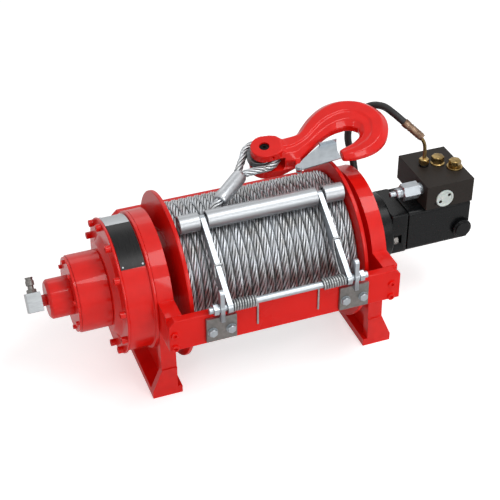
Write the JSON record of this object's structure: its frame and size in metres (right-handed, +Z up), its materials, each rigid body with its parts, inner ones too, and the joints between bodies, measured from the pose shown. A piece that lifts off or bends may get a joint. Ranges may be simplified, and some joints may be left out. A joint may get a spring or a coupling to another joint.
{
  "type": "hydraulic winch",
  "caption": "Hydraulic deck winch with a rope drum between cast end frames, planetary gearbox, orbital motor, sprung pressing roller and a clevis hook.",
  "frame": {"origin": "centre of the rectangle of four tapped foot holes, on the plane of the feet", "axes": "+X along the drum from the gearbox to the motor, -Y to the front tie bar with the roller brackets, +Z up"},
  "size_m": [1.127, 0.5, 0.5287],
  "materials": {
    "red_paint": "gloss",
    "zinc_steel": "satin",
    "bare_aluminium": "satin",
    "plate_metal": "satin",
    "black_paint": "satin",
    "block_finish": "satin",
    "pale_plug": "satin",
    "yellow_zinc": "satin",
    "hose_rubber": "satin",
    "rope_wire": "satin",
    "spring_steel": "gloss",
    "roller_steel": "satin",
    "dark_steel": "satin"
  },
  "bodies": {
    "frame": {"left_end_frame": "red_paint", "right_end_frame": "red_paint", "front_tie_bar": "red_paint", "rear_tie_bar": "red_paint", "tie_bar_screws": "red_paint", "ring_gear_housing": "red_paint", "gearbox_cover": "red_paint", "gearbox_cover_bolts": "red_paint", "clutch_housing": "red_paint", "clutch_cover": "red_paint", "end_cap": "red_paint", "air_inlet_block": "bare_aluminium", "air_nipple": "zinc_steel", "rating_plate": "plate_metal", "brake_housing": "black_paint", "motor_flange": "black_paint", "motor_body": "black_paint", "motor_boss_cap": "black_paint", "valve_block": "block_finish", "relief_cartridge": "zinc_steel", "block_plug": "pale_plug", "port_fittings": "yellow_zinc", "brake_hose": "hose_rubber", "hose_fittings": "yellow_zinc", "roller_brackets": "zinc_steel", "bracket_bolts": "zinc_steel", "pivot_shaft": "zinc_steel", "spring_legs": "spring_steel", "rope_tail": "rope_wire", "rope_ferrule": "bare_aluminium", "rope_eye": "rope_wire", "thimble": "dark_steel"},
    "drum": {"drum_barrel": "red_paint", "drum_flanges": "red_paint", "rope_winding": "rope_wire"},
    "roller_arms": {"roller_arms": "zinc_steel", "torsion_springs": "spring_steel"},
    "roller": {"roller_tubes": "roller_steel", "roller_axle": "roller_steel"},
    "hook": {"hook_forging": "red_paint", "hook_pin": "dark_steel", "latch_pin": "zinc_steel"},
    "latch": {"hook_latch": "zinc_steel"}
  },
  "joints": [
    {"name": "drum_spin", "type": "hinge", "parent": "frame", "child": "drum", "pos_m": [0, 0, 0.235], "axis": [1, 0, 0], "continuous": true},
    {"name": "arm_lift", "type": "hinge", "parent": "frame", "child": "roller_arms", "pos_m": [0, -0.244, 0.2945], "axis": [1, 0, 0], "range_deg": [0, 75], "stiffness_Nm_per_rad": 20, "springref_deg": -57.3},
    {"name": "roller_spin", "type": "hinge", "parent": "roller_arms", "child": "roller", "pos_m": [0, -0.06791, 0.41191], "axis": [1, 0, 0], "continuous": true},
    {"name": "hook_swing", "type": "hinge", "parent": "frame", "child": "hook", "pos_m": [0.0592, 0.0666, 0.4601], "axis": [-0.12, -0.2701, 0.9553], "range_deg": [0, 25]},
    {"name": "latch_open", "type": "hinge", "parent": "hook", "child": "latch", "pos_m": [0.11876, -0.00417, 0.44757], "axis": [-0.12, -0.2701, 0.9553], "range_deg": [0, 7], "stiffness_Nm_per_rad": 0.5, "springref_deg": -34.38}
  ]
}
